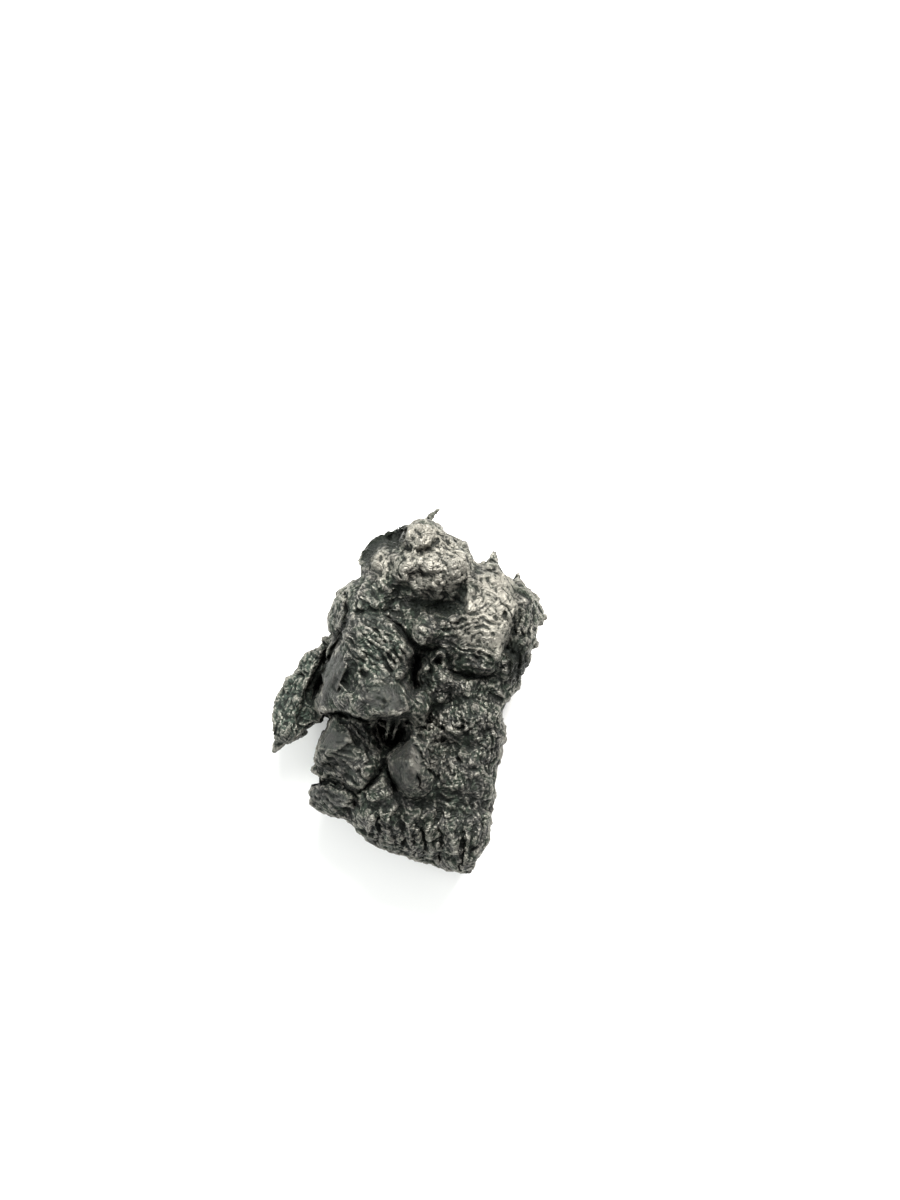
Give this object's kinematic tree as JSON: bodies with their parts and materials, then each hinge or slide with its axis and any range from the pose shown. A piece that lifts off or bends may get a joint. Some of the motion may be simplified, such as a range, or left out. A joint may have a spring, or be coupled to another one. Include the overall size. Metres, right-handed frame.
{
  "type": "meteorite",
  "caption": "Dark lump of fused, folded iron with a knobbly crown, a bright wrinkled shoulder, a thin side wing, pitted hollows and a flatter back that it rests on.",
  "frame": {"origin": "on the resting surface, under the middle of the stone's bounding box", "axes": "+Y from the foot to the crown, +X to the right of the face as it is looked at, +Z out of the face, away from the resting surface"},
  "size_m": [0.0416, 0.0552, 0.0261],
  "materials": {
    "fused_iron": "satin, half-metallic fused crust: greenish-black in the hollows, warm grey on the raised folds, with small bright glints"
  },
  "bodies": {
    "root": {"meteorite": "fused_iron"}
  },
  "joints": []
}
